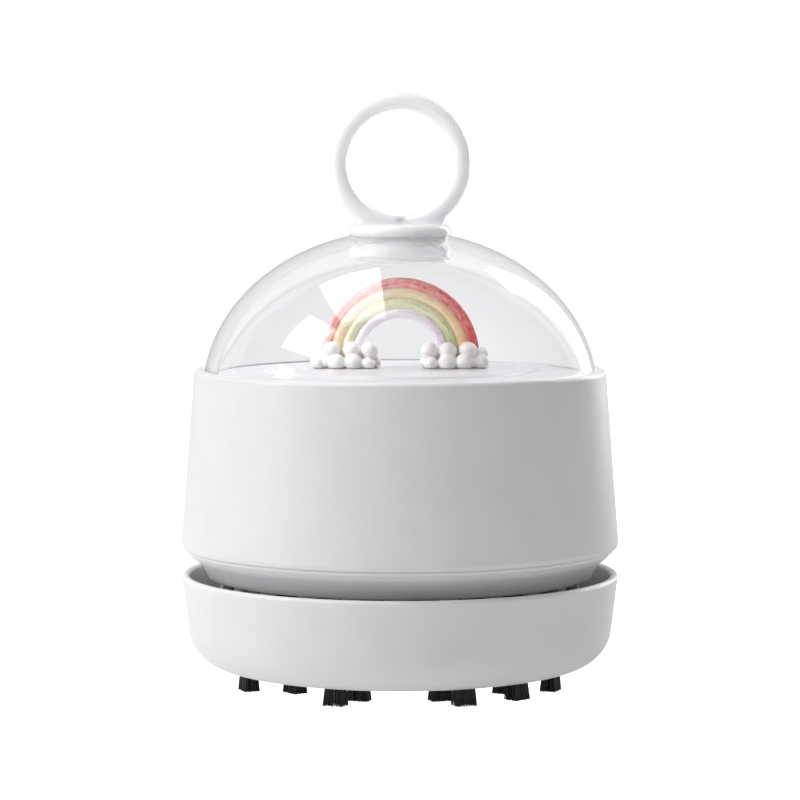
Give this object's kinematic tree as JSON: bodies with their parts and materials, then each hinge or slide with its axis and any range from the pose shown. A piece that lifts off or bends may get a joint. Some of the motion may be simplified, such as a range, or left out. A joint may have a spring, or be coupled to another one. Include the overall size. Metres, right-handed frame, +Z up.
{
  "type": "desktop mini vacuum cleaner",
  "caption": "Small round desk vacuum with a finger ring, clear dome over a rainbow ornament, tapered housing and a pull-off dust tray on brush tufts.",
  "frame": {"origin": "on the table under the middle of the cleaner, at the tips of its brushes", "axes": "+Z up through the finger ring, -Y front, +Y back with the switch and charging socket"},
  "size_m": [0.086, 0.086, 0.116],
  "materials": {
    "white_housing": "satin moulded ABS",
    "white_handle": "smooth moulded ABS",
    "clear_dome": "clear polished acrylic",
    "red_clay": "matt painted resin",
    "orange_clay": "matt painted resin",
    "green_clay": "matt painted resin",
    "violet_clay": "matt painted resin",
    "white_clay": "matt resin",
    "black_bristle": "nylon bristles",
    "grey_plastic": "fine grain",
    "dark_plastic": "fine grain",
    "black_rubber": "matt",
    "filter_foam": "open-cell foam",
    "steel": "plain steel",
    "brass": "plain brass",
    "magnet": "sintered ferrite",
    "winding": "varnished copper winding",
    "battery_wrap": "heat-shrink film",
    "board_green": "solder mask",
    "clear_light": "clear light guide"
  },
  "bodies": {
    "housing": {"ring_handle": "white_handle", "handle_retainer": "white_handle", "handle_screw": "steel", "dome_cover": "clear_dome", "display_deck": "white_housing", "rainbow_red": "red_clay", "rainbow_orange": "orange_clay", "rainbow_green": "green_clay", "rainbow_violet": "violet_clay", "cloud_left": "white_clay", "cloud_right": "white_clay", "upper_shell": "white_housing", "lower_skirt": "white_housing", "fan_housing": "white_housing", "motor_plate": "grey_plastic", "motor_can": "steel", "motor_endcap": "dark_plastic", "motor_magnets": "magnet", "motor_bushings": "brass", "motor_terminals": "brass", "motor_screws": "steel", "motor_mount": "grey_plastic", "mount_screws": "steel", "housing_screws": "steel", "battery_cell": "battery_wrap", "battery_cradle": "dark_plastic", "battery_contacts": "steel", "circuit_board": "board_green", "usb_socket": "steel", "switch_case": "steel", "indicator_light": "clear_light"},
    "rotor": {"impeller": "dark_plastic", "motor_shaft": "steel", "motor_armature": "winding"},
    "filter": {"filter_holder": "grey_plastic", "filter_mesh": "steel", "filter_foam": "filter_foam", "tray_seal": "black_rubber"},
    "tray": {"dust_tray": "white_housing", "dust_cup": "grey_plastic", "suction_mouth": "grey_plastic", "brush_plate": "grey_plastic", "outer_tufts": "black_bristle", "inner_tufts": "black_bristle"},
    "switch": {"switch_knob": "grey_plastic", "switch_actuator": "dark_plastic"}
  },
  "joints": [
    {"name": "impeller_spin", "type": "hinge", "parent": "housing", "child": "rotor", "pos_m": [0, 0, 0.0205], "axis": [0, 0, 1], "continuous": true},
    {"name": "filter_twist", "type": "hinge", "parent": "housing", "child": "filter", "pos_m": [0, 0, 0.013], "axis": [0, 0, 1], "range_deg": [0, 30]},
    {"name": "tray_pull", "type": "slide", "parent": "filter", "child": "tray", "axis": [0, 0, -1], "range_m": [0, 0.03]},
    {"name": "power_slide", "type": "slide", "parent": "housing", "child": "switch", "axis": [0, 0, 1], "range_m": [0, 0.004]}
  ]
}
